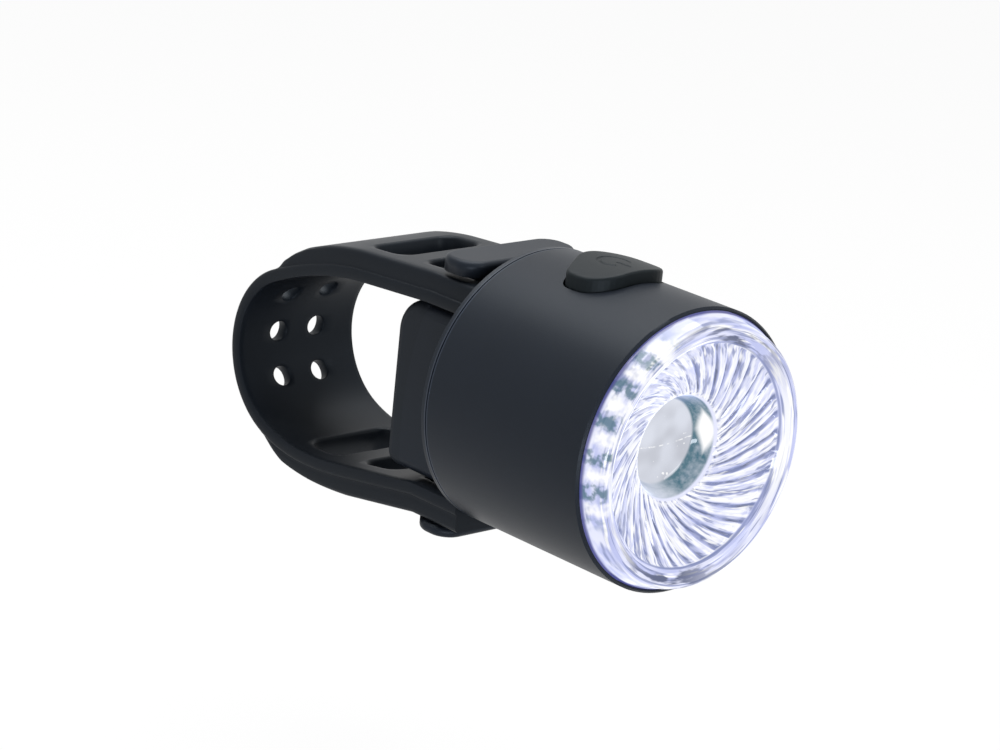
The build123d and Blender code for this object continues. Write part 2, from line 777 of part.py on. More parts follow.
def strap_arm(side, ramp_shares):
    """Thick outer layer of one arm, with a ramp down to the band."""
    ramp = [Vector(y, z) * band_r for y, z in ramp_shares]
    start, seat, bend, _, along, _ = arm_points(side, arm_t)
    level, slope, curve = arm_line(side, band_t / 2)
    curve = curve.trim(0, ramp_root_share)
    edges = [
        Line(start, seat),
        Line(seat, bend),
        Spline(bend, *ramp, tangents=(along, Vector(along.Y, -along.X) * side)),
        Line(ramp[-1], curve @ 1),
        curve,
        slope,
        level,
        Line(level @ 0, start),
    ]
    return extrude(side_face(edges), strap_x / 2 - ledge, both=True)


def window(shares, low, high):
    """Rounded window through one arm, between two shares of the way from the bar to the strap's end."""
    start, end = (strap_end_y * share for share in shares)
    outline = RectangleRounded(window_x, end - start, window_corner)
    return Pos(0, (start + end) / 2, low) * extrude(outline, high - low)


def strap():
    """Silicone strap: band, thick arms, hook and ladder windows, and two columns of holes."""
    body = strap_band() + strap_arm(1, top_ramp_shares) + strap_arm(-1, bottom_ramp_shares)
    reach = grip_half + 4 * arm_t
    for shares in top_window_shares:
        body -= window(shares, mount_z, mount_z + reach)
    for shares in bottom_window_shares:
        body -= window(shares, mount_z - reach, mount_z)
    for row in (-1, 0, 1):
        for side in (-1, 1):
            hole = Pos(side * strap_hole_x, 0, 0) * Rot(-90, 0, 0) * Cylinder(
                strap_hole_r, bar_r + band_t + overrun, align=(Align.CENTER, Align.CENTER, Align.MIN))
            body -= Rot(strap_hole_turn + row * strap_hole_angle, 0, 0) * hole
    return body


NODES = {
    "housing_shell": lambda: lamp(housing_shell()),
    "rear_cover": lambda: lamp(rear_cover()),
    "rear_seal": lambda: lamp(ring_seal(bore_r - seal_wire / 2, shell_back_w + spigot_length / 2)),
    "cover_screws": lambda: lamp(cover_screws()),
    "front_lens": lambda: lamp(front_lens()),
    "lens_seal": lambda: lamp(ring_seal(seat_r - wall / 2 - seal_wire / 2, lens_base_w + seal_wire / 2)),
    "reflector": lambda: lamp(reflector()),
    "collimator": lambda: lamp(collimator()),
    "led_board": lambda: lamp(led_board()),
    "main_led": lambda: lamp(main_led()),
    "ring_board": lambda: lamp(ring_board()),
    "ring_leds": lambda: lamp(ring_leds()),
    "heat_spreader": lambda: lamp(heat_spreader()),
    "button_cap": lambda: lamp(button_cap()),
    "button_plunger": lambda: lamp(button_plunger()),
    "switch_stem": lambda: lamp(switch_stem()),
    "tact_switch": lambda: lamp(tact_switch()),
    "control_board": lambda: lamp(control_board()),
    "board_parts": lambda: lamp(board_parts()),
    "charging_port": lambda: lamp(charging_port()),
    "port_cover": lambda: lamp(port_cover()),
    "port_anchor": lambda: lamp(port_anchor()),
    "battery_cell": lambda: lamp(battery_cell()),
    "battery_pad": lambda: lamp(battery_pad()),
    "battery_leads": lambda: lamp(leads(cell_w + foam_t + cell_t, board_w)),
    "led_leads": lambda: lamp(leads(board_front_w, led_front_w)),
    "inner_frame": lambda: lamp(inner_frame()),
    "mount_block": mount_block,
    "bracket_screws": lambda: lamp(bracket_screws()),
    "bar_pad": bar_pad,
    "strap": strap,
}


def main():
    """Write one STEP file for each node."""
    os.makedirs("parts", exist_ok=True)
    for name, make in NODES.items():
        export_step(make(), f"parts/{name}.step")


main()
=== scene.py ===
# %% [markdown]
# # A strap-on bicycle headlight
# The fixed frame is loaded first: every named piece of the lamp stands in its place, in metres,
# with +X along the handlebar, +Y towards the rider and +Z up. The lamp shines towards -Y.

# %% Load the frame
import bpy
import bmesh
import json
import math
import numpy as np
from mathutils import Matrix, Vector


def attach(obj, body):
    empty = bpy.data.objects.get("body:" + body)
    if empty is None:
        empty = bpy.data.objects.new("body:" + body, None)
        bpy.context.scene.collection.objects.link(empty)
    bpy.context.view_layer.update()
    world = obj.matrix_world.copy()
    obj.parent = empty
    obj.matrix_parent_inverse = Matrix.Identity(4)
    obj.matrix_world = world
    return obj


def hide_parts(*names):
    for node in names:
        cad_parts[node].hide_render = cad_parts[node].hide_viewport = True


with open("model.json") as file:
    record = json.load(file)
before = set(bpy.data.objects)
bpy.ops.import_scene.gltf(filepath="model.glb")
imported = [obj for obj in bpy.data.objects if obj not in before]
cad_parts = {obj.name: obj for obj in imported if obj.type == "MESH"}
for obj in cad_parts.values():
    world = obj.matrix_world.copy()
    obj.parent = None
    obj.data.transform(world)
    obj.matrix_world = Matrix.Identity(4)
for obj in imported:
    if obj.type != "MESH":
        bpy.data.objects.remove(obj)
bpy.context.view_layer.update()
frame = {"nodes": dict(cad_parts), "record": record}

# %% [markdown]
# ## The camera
# The photograph was taken from the lamp's front right, a little above it, with a long lens and a
# slight tilt. A camera is placed by its three directions: right, up and back. Working them out from
# azimuth, elevation and roll keeps the tilt exact, which a "track to" constraint would lose.

# %% Place the camera
MM = 0.001
HEAD_BACK_Y, HEAD_AXIS_Z, HEAD_R = -38.9, 6.4, 20.0  # the lamp's back face, its axis and its radius, in mm
azimuth, elevation, roll = (math.radians(angle) for angle in (-43.889, 17.074, 5.899))
eye = Vector((-325.11, -370.97, 150.16)) * MM
back = Vector((math.sin(azimuth) * math.cos(elevation), -math.cos(azimuth) * math.cos(elevation),
               math.sin(elevation)))
level_right = Vector((math.cos(azimuth), math.sin(azimuth), 0))
level_up = back.cross(level_right)
right = level_right * math.cos(roll) + level_up * math.sin(roll)
up = level_up * math.cos(roll) - level_right * math.sin(roll)
camera_data = bpy.data.cameras.new("camera")
camera_data.sensor_width = 36.0
camera_data.lens = 125.69
camera_data.clip_start, camera_data.clip_end = 0.01, 20.0
camera = bpy.data.objects.new("camera", camera_data)
bpy.context.collection.objects.link(camera)
camera.matrix_world = Matrix((right, up, back)).transposed().to_4x4()
camera.location = eye
bpy.context.scene.camera = camera
bpy.context.scene.view_settings.view_transform = "Standard"
print("camera", [round(c, 4) for c in camera.location])

# %% [markdown]
# ## Shader maths in Python
# Blender's materials are node graphs. One small class wraps a socket, so that a sum written in Python
# adds its Math nodes. A second class holds one finish: its material, its shader, and one method that
# adds any other node.

# %% Wrap sockets and finishes
class Wire:
    """A number that changes over a surface. Sums of wires and numbers add Math nodes."""

    def __init__(self, finish, socket):
        self.finish, self.socket = finish, socket

    def __add__(self, other):
        return self.finish.math("ADD", self, other)

    def __sub__(self, other):
        return self.finish.math("SUBTRACT", self, other)

    def __rsub__(self, other):
        return self.finish.math("SUBTRACT", other, self)

    def __mul__(self, other):
        return self.finish.math("MULTIPLY", self, other)

    def __truediv__(self, other):
        return self.finish.math("DIVIDE", self, other)

    __radd__, __rmul__ = __add__, __mul__


class Finish:
    """One material with a Principled shader; words set its fixed sockets."""

    def __init__(self, name, **fixed):
        self.material = bpy.data.materials.new(name)
        self.material.use_nodes = True
        self.tree = self.material.node_tree
        self.shader = self.tree.nodes["Principled BSDF"]
        for word, value in fixed.items():
            self.shader.inputs[word.replace("_", " ")].default_value = value
        self.place = None

    def put(self, socket, value):
        """Link a wire to a socket, or write a plain value there."""
        if isinstance(value, Wire):
            self.tree.links.new(value.socket, socket)
        else:
            socket.default_value = value

    def node(self, kind, settings=None, inputs=None, out=0):
        """Add one node: its settings first, a ramp's stops among them, then its sockets."""
        made = self.tree.nodes.new(kind)
        for word, value in (settings or {}).items():
            if word == "stops":
                ramp = made.color_ramp
                while len(ramp.elements) < len(value):
                    ramp.elements.new(0.5)
                for element, (place, colour) in zip(ramp.elements, value):
                    element.position, element.color = place, (*colour, 1.0)
            else:
                setattr(made, word, value)
        for word, value in (inputs or {}).items():
            self.put(made.inputs[word], value)
        return Wire(self, made.outputs[out])

    def math(self, operation, *values):
        """Add a Math node for numbers and wires."""
        return self.node("ShaderNodeMath", {"operation": operation}, dict(enumerate(values)))

    def step(self, value, low, high):
        """Smooth step: 0 below low, 1 above high."""
        return self.node("ShaderNodeMapRange", {"interpolation_type": "SMOOTHSTEP"},
                         {"Value": value, "From Min": low, "From Max": high})

    def mix(self, factor, first, second):
        """Blend two colours."""
        return self.node("ShaderNodeMix", {"data_type": "RGBA"}, {0: factor, 6: first, 7: second}, 2)

    def here(self):
        """Object coordinates in metres."""
        if self.place is None:
            self.place = self.node("ShaderNodeTexCoord", out=3)
        return self.place

    def lamp_place(self):
        """x across, v up from the lamp's axis, w forwards from its back face, in millimetres."""
        split = self.node("ShaderNodeSeparateXYZ", None, {0: self.here()}).socket.node.outputs
        x, y, z = (Wire(self, split[k]) * 1000.0 for k in range(3))
        return x, z - HEAD_AXIS_Z, HEAD_BACK_Y - y

    def noise(self, size_mm, detail=2.0):
        """Noise whose grains are about size_mm wide, from 0 to 1."""
        return self.node("ShaderNodeTexNoise", None,
                         {"Vector": self.here(), "Scale": 1000.0 / size_mm, "Detail": detail})

    def bump(self, height, depth_mm):
        """Bump the shader's normal by a height from 0 to 1."""
        normal = self.node("ShaderNodeBump", None, {"Height": height, "Distance": depth_mm * MM, "Strength": 1.0})
        self.put(self.shader.inputs["Normal"], normal)

    def feed(self, word, value):
        """Feed one of the shader's sockets."""
        self.put(self.shader.inputs[word], value)


# %% [markdown]
# ## Moulded plastic and rubber
# The lamp's body is matte plastic with a fine spark-eroded grain, and the strap is silicone with a soft
# sheen. Both are a base colour that drifts a little, a roughness that drifts with it, and a fine bump.
# Noise in Object coordinates keeps the grain at its real size on every piece. Where the rear cover
# meets the shell, a painted highlight in the base colour, a fine pale line, stands for the light both edges catch.

# %% Make a moulded finish
def shade(colour, factor):
    """Scale a colour by a factor."""
    return (*(min(1.0, c * factor) for c in colour), 1.0)


def moulded(name, colour, roughness, grain_mm=0.18, depth_mm=0.012, drift=0.12, coat=0.0, specular=0.5,
            edge_highlight_w=None):
    """Grain bump, a slow drift of colour and roughness over about 9 mm, and a painted highlight: a pale
    line in the base colour round the lamp at edge_highlight_w from its back face."""
    finish = Finish(name, Coat_Weight=coat, Specular_IOR_Level=specular, Specular_Tint=(0.80, 0.90, 1.0, 1.0))
    slow = finish.noise(9.0, 3.0)
    grain = finish.noise(grain_mm, 2.0)
    tint = finish.mix(slow * 0.7 + grain * 0.3, shade(colour, 1 - drift), shade(colour, 1 + drift))
    if edge_highlight_w:
        # painted highlight: the base colour turns pale in a fine line along the edge, where the edge would catch the
        # light
        x, v, w = finish.lamp_place()
        away = finish.math("ABSOLUTE", w - edge_highlight_w)
        painted_edge_highlight = finish.step(away, 0.14, 0.05) * finish.step(x * x + v * v, (HEAD_R - 0.3) ** 2, (HEAD_R - 0.15) ** 2)
        tint = finish.mix(painted_edge_highlight * (slow * 0.5 + 0.4), tint, shade(colour, 4.0))
    finish.feed("Base Color", tint)
    finish.feed("Roughness", slow * (0.5 * drift) + grain * 0.06 + (roughness - 0.03 - 0.25 * drift))
    finish.bump(grain, depth_mm)
    return finish


finishes = {
    "body": moulded("matte_body", (0.0088, 0.0113, 0.0162), 0.42, 0.16, 0.008, specular=0.135, edge_highlight_w=1.42),
    "cover": moulded("satin_cover", (0.0100, 0.0125, 0.0175), 0.40, 0.16, 0.008, specular=0.2, edge_highlight_w=0.98),
    "button": moulded("button_rubber", (0.0062, 0.0084, 0.0096), 0.48, 0.22, 0.008, specular=0.12),
    "strap": moulded("strap_silicone", (0.0050, 0.0068, 0.0098), 0.42, 0.30, 0.005, 0.2, specular=0.12),
    "pad": moulded("pad_rubber", (0.0090, 0.0112, 0.0150), 0.55, 0.30, 0.010, specular=0.15),
    "seal": moulded("seal_rubber", (0.012, 0.012, 0.014), 0.5, 0.25, 0.006),
    "frame": moulded("frame_plastic", (0.03, 0.03, 0.033), 0.5),
    "foam": moulded("cell_foam", (0.05, 0.05, 0.052), 0.95, 0.5, 0.12, 0.3),
    "wire": moulded("wire_insulation", (0.45, 0.03, 0.025), 0.4, 0.2, 0.004),
    "parts": moulded("chip_epoxy", (0.02, 0.02, 0.022), 0.35, 0.1, 0.004),
    "board": moulded("green_mask", (0.01, 0.09, 0.035), 0.32, 0.4, 0.004, 0.2, 0.4),
    "led_board": moulded("white_mask", (0.78, 0.78, 0.76), 0.35, 0.4, 0.004, 0.04, 0.3),
}
print("moulded finishes", len(finishes))

# %% [markdown]
# ## Metals, foil and clear plastic inside
# The screws, the socket's shell and the heat spreader are bare metal. Metal looks right when its
# brightness comes from reflections, so it is fully metallic, with fine turning or rolling marks as bump.

# %% Make metal and optic finishes
def metal(name, colour, roughness, mark_mm, depth_mm):
    """Bare metal with marks of mark_mm and smudges that change its roughness."""
    finish = Finish(name, Metallic=1.0)
    smudge = finish.noise(3.0, 3.0)
    finish.feed("Base Color", finish.mix(smudge, shade(colour, 0.9), shade(colour, 1.05)))
    finish.feed("Roughness", smudge * 0.15 + (roughness - 0.07))
    finish.bump(finish.noise(mark_mm, 1.0), depth_mm)
    return finish


def glow(name, colour, spread_mm=0.6):
    """A lit surface: dark plastic whose light drifts a little."""
    finish = Finish(name, Base_Color=(0.1, 0.1, 0.1, 1.0), Emission_Strength=1.0)
    finish.feed("Emission Color", finish.mix(finish.noise(spread_mm), shade(colour, 0.85), shade(colour, 1.0)))
    finish.bump(finish.noise(0.3), 0.003)
    return finish


finishes["metal"] = metal("milled_aluminium", (0.80, 0.81, 0.83), 0.32, 0.25, 0.004)
finishes["steel"] = metal("brushed_steel", (0.58, 0.58, 0.60), 0.3, 0.12, 0.004)
finishes["reflector"] = metal("coated_reflector", (0.92, 0.92, 0.95), 0.1, 1.5, 0.002)
finishes["cell"] = metal("cell_foil", (0.62, 0.63, 0.66), 0.38, 0.8, 0.01)
finishes["led"] = glow("lit_phosphor", (1.0, 1.0, 1.0))
finishes["optic"] = glow("lit_optic", (0.82, 0.85, 0.95))
print("all finishes", sorted(finishes))

# %% [markdown]
# ## Surfaces from arrays
# Most new pieces are grids: whole arrays of points from a formula, and quads that join neighbours.
# Parts of one piece are put together, their shared points merged, and their normals turned outwards.

# %% Build meshes from numpy arrays
def grid_faces(rows, columns, close_columns=False):
    """Quads between neighbouring rows and columns of a grid of points, each row closed where asked."""
    i, j = np.meshgrid(np.arange(rows - 1), np.arange(columns - (not close_columns)), indexing="ij")
    i, j = i.ravel(), j.ravel()
    ii, jj = i + 1, (j + 1) % columns
    return np.stack([i * columns + j, ii * columns + j, ii * columns + jj, i * columns + jj], axis=1)


def surface(points, close_columns=False):
    """A grid of points, rows x columns x 3, as (points, quads)."""
    points = np.asarray(points, float)
    return points.reshape(-1, 3), grid_faces(points.shape[0], points.shape[1], close_columns)


def make_piece(name, surfaces, body, slot, sharp_degrees=38.0, merge_mm=0.004):
    """Join surfaces given in millimetres into one piece that rides on a body."""
    offsets = np.cumsum([0] + [len(points) for points, _ in surfaces])
    points = np.concatenate([points for points, _ in surfaces]) * MM
    faces = np.concatenate([quads + offset for (_, quads), offset in zip(surfaces, offsets)])
    mesh = bpy.data.meshes.new(name)
    mesh.from_pydata(points.tolist(), [], faces.tolist())
    shell = bmesh.new()
    shell.from_mesh(mesh)
    bmesh.ops.remove_doubles(shell, verts=shell.verts, dist=merge_mm * MM)
    bmesh.ops.dissolve_degenerate(shell, edges=shell.edges, dist=1e-7)
    bmesh.ops.recalc_face_normals(shell, faces=shell.faces)
    shell.to_mesh(mesh)
    open_edges = sum(1 for edge in shell.edges if len(edge.link_faces) != 2)
    shell.free()
    mesh.shade_smooth()
    mesh.set_sharp_from_angle(angle=math.radians(sharp_degrees))
    piece = bpy.data.objects.new(name, mesh)
    bpy.context.collection.objects.link(piece)
    mesh.materials.append(finishes[slot].material)
    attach(piece, body)
    print(name, "faces", len(mesh.polygons), "open edges", open_edges)
    return piece


# %% Place points of the lamp's own frame
def lamp(x, v, w):
    """x across, v up from the lamp's axis, w forwards from its back face: into the row's frame."""
    x, v, w = np.broadcast_arrays(x, v, w)
    return np.stack([x, HEAD_BACK_Y - w, HEAD_AXIS_Z + v], axis=-1)


def rounded_outline(corners, radii, arc_steps=10):
    """Closed outline through a convex polygon's corners, each rounded by an arc of its radius."""
    corners, points = np.asarray(corners, float), []
    for before, corner, after, radius in zip(np.roll(corners, 1, 0), corners, np.roll(corners, -1, 0), radii):
        a, b = before - corner, after - corner
        a, b = a / np.linalg.norm(a), b / np.linalg.norm(b)
        half = math.acos(np.clip(a @ b, -1, 1)) / 2
        middle = corner + (a + b) / np.linalg.norm(a + b) * radius / math.sin(half)
        start, end = corner + a * radius / math.tan(half), corner + b * radius / math.tan(half)
        t0, t1 = (math.atan2(*(p - middle)[::-1]) for p in (start, end))
        turn = (t1 - t0 + math.pi) % (2 * math.pi) - math.pi
        t = t0 + turn * np.linspace(0, 1, arc_steps)
        points.append(middle + radius * np.stack([np.cos(t), np.sin(t)], axis=1))
    return np.concatenate(points)


def radial(outline, centre, angles):
    """Points of a closed outline round centre at the given polar angles."""
    rel = outline - centre
    following = np.roll(rel, -1, axis=0)
    share = np.linspace(0, 1, 24, endpoint=False)[None, :, None]
    fine = (rel[:, None, :] * (1 - share) + following[:, None, :] * share).reshape(-1, 2)
    t, r = np.arctan2(fine[:, 1], fine[:, 0]), np.hypot(fine[:, 0], fine[:, 1])
    order = np.argsort(t)
    reach = np.interp(angles, t[order], r[order], period=2 * math.pi)
    return centre + reach[:, None] * np.stack([np.cos(angles), np.sin(angles)], axis=1)


# %% [markdown]
# ## The fluted lens
# The clear cap is what the eye goes to. Its dished face carries 36 ribs on logarithmic spirals, so each
# rib keeps the same angle to the radius all the way out. The face's height is a function of radius
# and angle: the profile of the cap plus a rounded rib that fades at both ends.

# %% Work out the lens's front surface
WELL_R, DISH_R, RIBS, SWIRL = 7.4, 15.6, 36, 0.81
RIB_TALL, RIB_FOOT = 0.55, 0.35
MIDDLE_R = 0.02  # a fan closes the hole that the innermost ring leaves
well_profile = np.array([  # radius and w, from the well's centre to the dish's inner edge
    (MIDDLE_R, 25.9), (3.0, 25.95), (5.6, 26.1), (6.3, 26.5), (6.75, 27.4), (7.05, 28.6), (7.25, 29.25), (7.45, 29.55),
    (7.9, 29.75)])
rim_profile = np.array([  # from the dish's outer edge over the rim to the seat
    (DISH_R - 0.3, 32.75), (DISH_R, 33.1), (16.1, 33.75), (16.7, 34.1), (17.4, 34.3), (18.0, 34.3),
    (18.35, 34.1), (18.5, 33.7), (18.75, 32.6), (19.2, 31.5), (19.35, 31.2), (19.4, 30.9), (19.4, 29.2)])
back_profile = np.array([  # the inner face, from the seat back to its middle
    (19.4, 29.2), (17.7, 29.2), (17.7, 31.0), (17.2, 31.9), (15.9, 31.6), (9.0, 28.0), (7.6, 24.9), (6.0, 24.6),
    (MIDDLE_R, 24.6)])


def rib_height(radius, angle):
    """Height over the dish: RIB_TALL times (sine to the power 0.8, less RIB_FOOT), with half a turn of the
    sine to each rib. Ribs are counted along the angle less SWIRL times the logarithm of the radius. They
    fade out at the well and at the dish's edge, and reach full height 5 mm outside the well."""
    phase = (angle - SWIRL * np.log(np.maximum(radius, 1.0) / WELL_R)) * RIBS / (2 * np.pi)
    across = np.abs(np.sin(np.pi * phase))
    fade = np.clip((radius - WELL_R) / 1.2, 0, 1) * np.clip((DISH_R + 0.1 - radius) / 0.9, 0, 1)
    return RIB_TALL * (across ** 0.8 - RIB_FOOT) * fade * (0.6 + 0.4 * np.clip((radius - WELL_R) / 5, 0, 1))


def lens_face(samples=720, rings=60):
    """The profile turned round the lamp's axis, with extra rings across the dish: x is r cos a, v is r sin a,
    and w is the profile's at r plus the rib's height there."""
    dish = np.linspace(well_profile[-1], rim_profile[0], rings)[1:-1]
    profile = np.concatenate([well_profile, dish, rim_profile])
    angle = np.linspace(0, 2 * np.pi, samples, endpoint=False)
    r, a = np.meshgrid(profile[:, 0], angle, indexing="ij")
    return lamp(r * np.cos(a), r * np.sin(a), profile[:, 1][:, None] + rib_height(r, a))


def disc_fan(ring):
    """One ring of points closed by quads that meet on a line through its middle."""
    n = len(ring)
    k = np.arange(1, n // 2)
    return ring, np.stack([k - 1, k, n - 1 - k, (n - k) % n], axis=1)


def lens_back(samples=720):
    """The inner face's profile, turned round the axis in the same way and without ribs."""
    angle = np.linspace(0, 2 * np.pi, samples, endpoint=False)
    r, a = np.meshgrid(back_profile[:, 0], angle, indexing="ij")
    return lamp(r * np.cos(a), r * np.sin(a), back_profile[:, 1][:, None] + 0 * a)


# %% [markdown]
# ## The light in the lens
# The real lens is lit from behind. Light traced through 36 clear ribs is slow to come out clean, so here
# the lens carries its own light: radius, angle and the ribs' phase are worked out from Object
# coordinates, and each region of the lens gets its glow from them. The surface keeps its gloss.

# %% Light the lens by its regions
TINTS = {"white": (1.0, 1.0, 1.0, 1), "pale": (0.76, 0.78, 0.96, 1), "lavender": (0.49, 0.53, 0.83, 1),
         "violet": (0.18, 0.22, 0.43, 1), "slate": (0.085, 0.105, 0.20, 1), "teal": (0.055, 0.15, 0.20, 1),
         "grey": (0.66, 0.69, 0.77, 1), "ash": (0.50, 0.52, 0.58, 1),
         "blue": (0.05, 0.05, 0.24, 1)}
LED_STEP = 15.0  # degrees between two diodes of the ring


def lens_light():
    """Glow by region: centre disc, well wall, ribbed dish, outer ring with its diodes, and side wall."""
    f = Finish("lit_lens", Base_Color=(0.012, 0.012, 0.016, 1.0), Roughness=0.08, Emission_Strength=1.0,
               Specular_IOR_Level=0.4)
    x, v, w = f.lamp_place()
    r = f.math("SQRT", x * x + v * v)
    angle = f.math("ARCTAN2", v, x)
    degrees = angle * (180.0 / math.pi)
    swirl = angle - f.math("LOGARITHM", r / WELL_R, math.e) * SWIRL

    def near(centre, width):
        """1 where the angle in degrees is near centre, fading to 0 over width."""
        away = f.math("ABSOLUTE", f.math("WRAP", degrees - centre, 180.0, -180.0))
        return f.step(away, width, 0.0)

    def streaks(turn, along_mm, across_mm, detail=2.0):
        """Noise stretched along the turn: a ring's noise runs round it, a rib's runs along the rib."""
        grains = 15.0 / along_mm  # measured along a circle of 15 mm
        place = f.node("ShaderNodeCombineXYZ", None, {
            0: f.math("COSINE", turn) * grains, 1: f.math("SINE", turn) * grains, 2: r / across_mm})
        return f.node("ShaderNodeTexNoise", None, {"Vector": place, "Scale": 1.0, "Detail": detail})

    soft, grain = f.noise(3.5, 2.0), f.noise(0.5, 2.0)

    # ribs: dark line, pale body, white crest, shaded far flank
    rib_noise = streaks(swirl, 0.9, 5.0)
    phase = f.math("FRACT", swirl * (RIBS / (2 * math.pi)) + (rib_noise - 0.5) * 0.55 + 40.0)
    rib_tints = [(0.0, "slate"), (0.13, "violet"), (0.24, "pale"), (0.42, "white"),
                 (0.60, "pale"), (0.74, "white"), (0.84, "lavender"), (1.0, "slate")]
    rib = f.node("ShaderNodeValToRGB", {"stops": [(place, TINTS[word][:3]) for place, word in rib_tints]}, {0: phase})
    depth = f.step(rib_noise + near(-40.0, 120.0) * 0.35 - near(135.0, 70.0) * 0.20, 0.28, 0.58)
    dish = f.mix(depth * 0.75 + 0.22, f.mix(soft, TINTS["lavender"], TINTS["white"]), rib)
    dish = f.mix(f.step(streaks(swirl, 1.6, 2.2), 0.46, 0.64) * 0.6, dish, TINTS["lavender"])
    dish = f.mix(f.step(streaks(swirl, 0.8, 2.6), 0.52, 0.64) * 0.75, dish, TINTS["violet"])
    dish = f.mix(f.step(streaks(swirl + 1.0, 0.8, 3.4), 0.55, 0.66) * 0.8, dish, TINTS["white"])
    left_glare = near(165.0, 80.0) * 0.6 + 0.15
    dish = f.mix(f.step(streaks(swirl, 2.5, 3.0), 0.56, 0.70) * left_glare, dish, TINTS["white"])
    dish = f.mix(f.step(r, 8.6, 7.6) * f.step(grain, 0.35, 0.6) * 0.7, dish, TINTS["white"])
    between_ribs = f.step(f.math("ABSOLUTE", phase - 0.5), 0.22, 0.42)
    dish = f.mix(f.step(r, 14.7, 15.5) * between_ribs * 0.6, dish, TINTS["violet"])

    # outer ring: long streaks round it, a line where the dish ends, diodes behind the left side
    ring = f.mix(f.step(streaks(angle, 9.0, 0.8), 0.38, 0.62), TINTS["lavender"], TINTS["pale"])
    ring = f.mix(f.step(streaks(angle + 1.0, 7.0, 0.55), 0.52, 0.62), ring, TINTS["white"])
    ring = f.mix(f.step(streaks(angle + 3.0, 8.0, 0.40), 0.55, 0.64) * 0.8, ring, TINTS["violet"])
    top_and_bottom = near(75.0, 50.0) + near(-105.0, 55.0) + 0.15
    patches = f.step(streaks(angle + 2.0, 5.0, 1.1, 3.0), 0.48, 0.60) * top_and_bottom
    ring = f.mix(patches * 0.9, ring, TINTS["slate"])
    ring = f.mix(near(5.0, 60.0) * f.step(f.math("ABSOLUTE", r - 16.6), 0.55, 0.2) * 0.85, ring, TINTS["white"])
    ring = f.mix(f.step(f.math("ABSOLUTE", r - 15.75), 0.16, 0.05) * 0.7, ring, TINTS["violet"])

    # diodes: a white, uneven spot each LED_STEP degrees, teal board between two
    led_away = f.math("ABSOLUTE", f.math("WRAP", degrees, LED_STEP / 2, -LED_STEP / 2)) + (f.noise(0.8) - 0.5) * 4.5
    uneven = streaks(angle, 4.6, 30.0, 1.0)
    spot = f.step(led_away - (uneven - 0.5) * 9.0, 4.8, 1.2) * (f.step(f.noise(1.7), 0.32, 0.56) * 0.65 + 0.35)
    gap = f.step(led_away, 3.2, 5.6)
    left = f.step(near(158.0, 62.0), 0.05, 0.45)
    behind = f.step(r + (soft - 0.5) * 2.0, 17.1, 17.9)
    ring = f.mix(left * gap * behind * f.step(f.noise(1.3), 0.36, 0.56) * 0.85, ring, TINTS["teal"])
    ring = f.mix(left * spot * f.step(r + (soft - 0.5) * 2.6, 15.9, 17.9), ring, TINTS["white"])
    ring = f.mix(near(5.0, 75.0) * f.step(r, 18.1, 18.3) * 0.8, ring, TINTS["blue"])

    # side wall: clear, so that the diodes show through it, blue towards its seat
    side = f.mix(f.step(streaks(angle, 5.0, 0.6), 0.42, 0.60), TINTS["lavender"], TINTS["pale"])
    side = f.mix(f.step(streaks(angle + 4.0, 6.0, 0.45), 0.52, 0.62) * 0.8, side, TINTS["violet"])
    side = f.mix(left * gap * f.step(f.noise(1.3), 0.34, 0.54) * 0.85, side, TINTS["teal"])
    side = f.mix((left * 0.85 + 0.15) * spot * f.step(w, 31.2, 32.2), side, TINTS["white"])
    side = f.mix(f.step(w, 31.7, 31.3) * 0.85, side, TINTS["blue"])

    # well: grey disc, teal-grey wall with a white highlight along it
    climb = f.step(r, 5.9, 7.3)
    mottle = (grain - 0.5) * 0.6 + (streaks(angle, 5.0, 0.5) - 0.5) * 0.9
    wall = f.mix(climb * 0.40 - 0.10 + mottle, TINTS["teal"], TINTS["grey"])
    wall = f.mix(near(95.0, 60.0) * 0.9, wall, TINTS["lavender"])
    wall = f.mix(near(-95.0, 35.0) * 0.6, wall, TINTS["grey"])
    wall = f.mix(near(205.0, 85.0) * 0.9, wall, TINTS["pale"])
    shine = near(10.0, 42.0) * 1.1 - f.math("ABSOLUTE", w - 28.1) * 0.55
    wall = f.mix(f.step(shine, 0.05, 0.65), wall, TINTS["white"])
    disc = f.mix(f.step(f.noise(4.0, 1.0), 0.30, 0.70), TINTS["ash"], TINTS["grey"])
    disc = f.mix(f.step(x * 0.6 - v, 0.0, 5.0) * 0.3, disc, TINTS["ash"])
    arc = f.math("ABSOLUTE", v + 0.9 - x * x * 0.02)
    disc = f.mix(f.step(arc, 0.14, 0.04) * f.step(f.noise(0.5), 0.40, 0.6) * 0.7, disc, TINTS["white"])
    disc = f.mix(f.step(f.noise(0.9, 1.0), 0.72, 0.77) * 0.8, disc, TINTS["white"])

    colour = f.mix(f.step(r, 5.8, 6.2), disc, wall)
    colour = f.mix(f.step(r, 7.15, 7.3), colour, TINTS["pale"])
    colour = f.mix(f.step(r, 7.4, 7.6), colour, dish)
    colour = f.mix(f.step(r, 15.5, 15.7), colour, ring)
    colour = f.mix(f.step(w, 33.9, 33.5) * f.step(r, 17.9, 18.2), colour, side)
    f.feed("Emission Color", colour)
    f.bump(f.noise(0.8, 1.0), 0.004)
    return f


finishes["lens"] = lens_light()
face = lens_face()
rear = lens_back()
fluted_lens = make_piece("fluted_lens", [
    surface(face, close_columns=True), disc_fan(face[0]), surface(rear, close_columns=True), disc_fan(rear[-1])],
    "lamp_body", "lens", 50.0, 0.0005)
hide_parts("front_lens")

# %% [markdown]
# ## The power button
# The button is a soft shield that follows the head's curve. Its side is drawn by the outline, its top
# by the cylinder it stands on, and a quarter-round joins the two. The power symbol is pressed in.

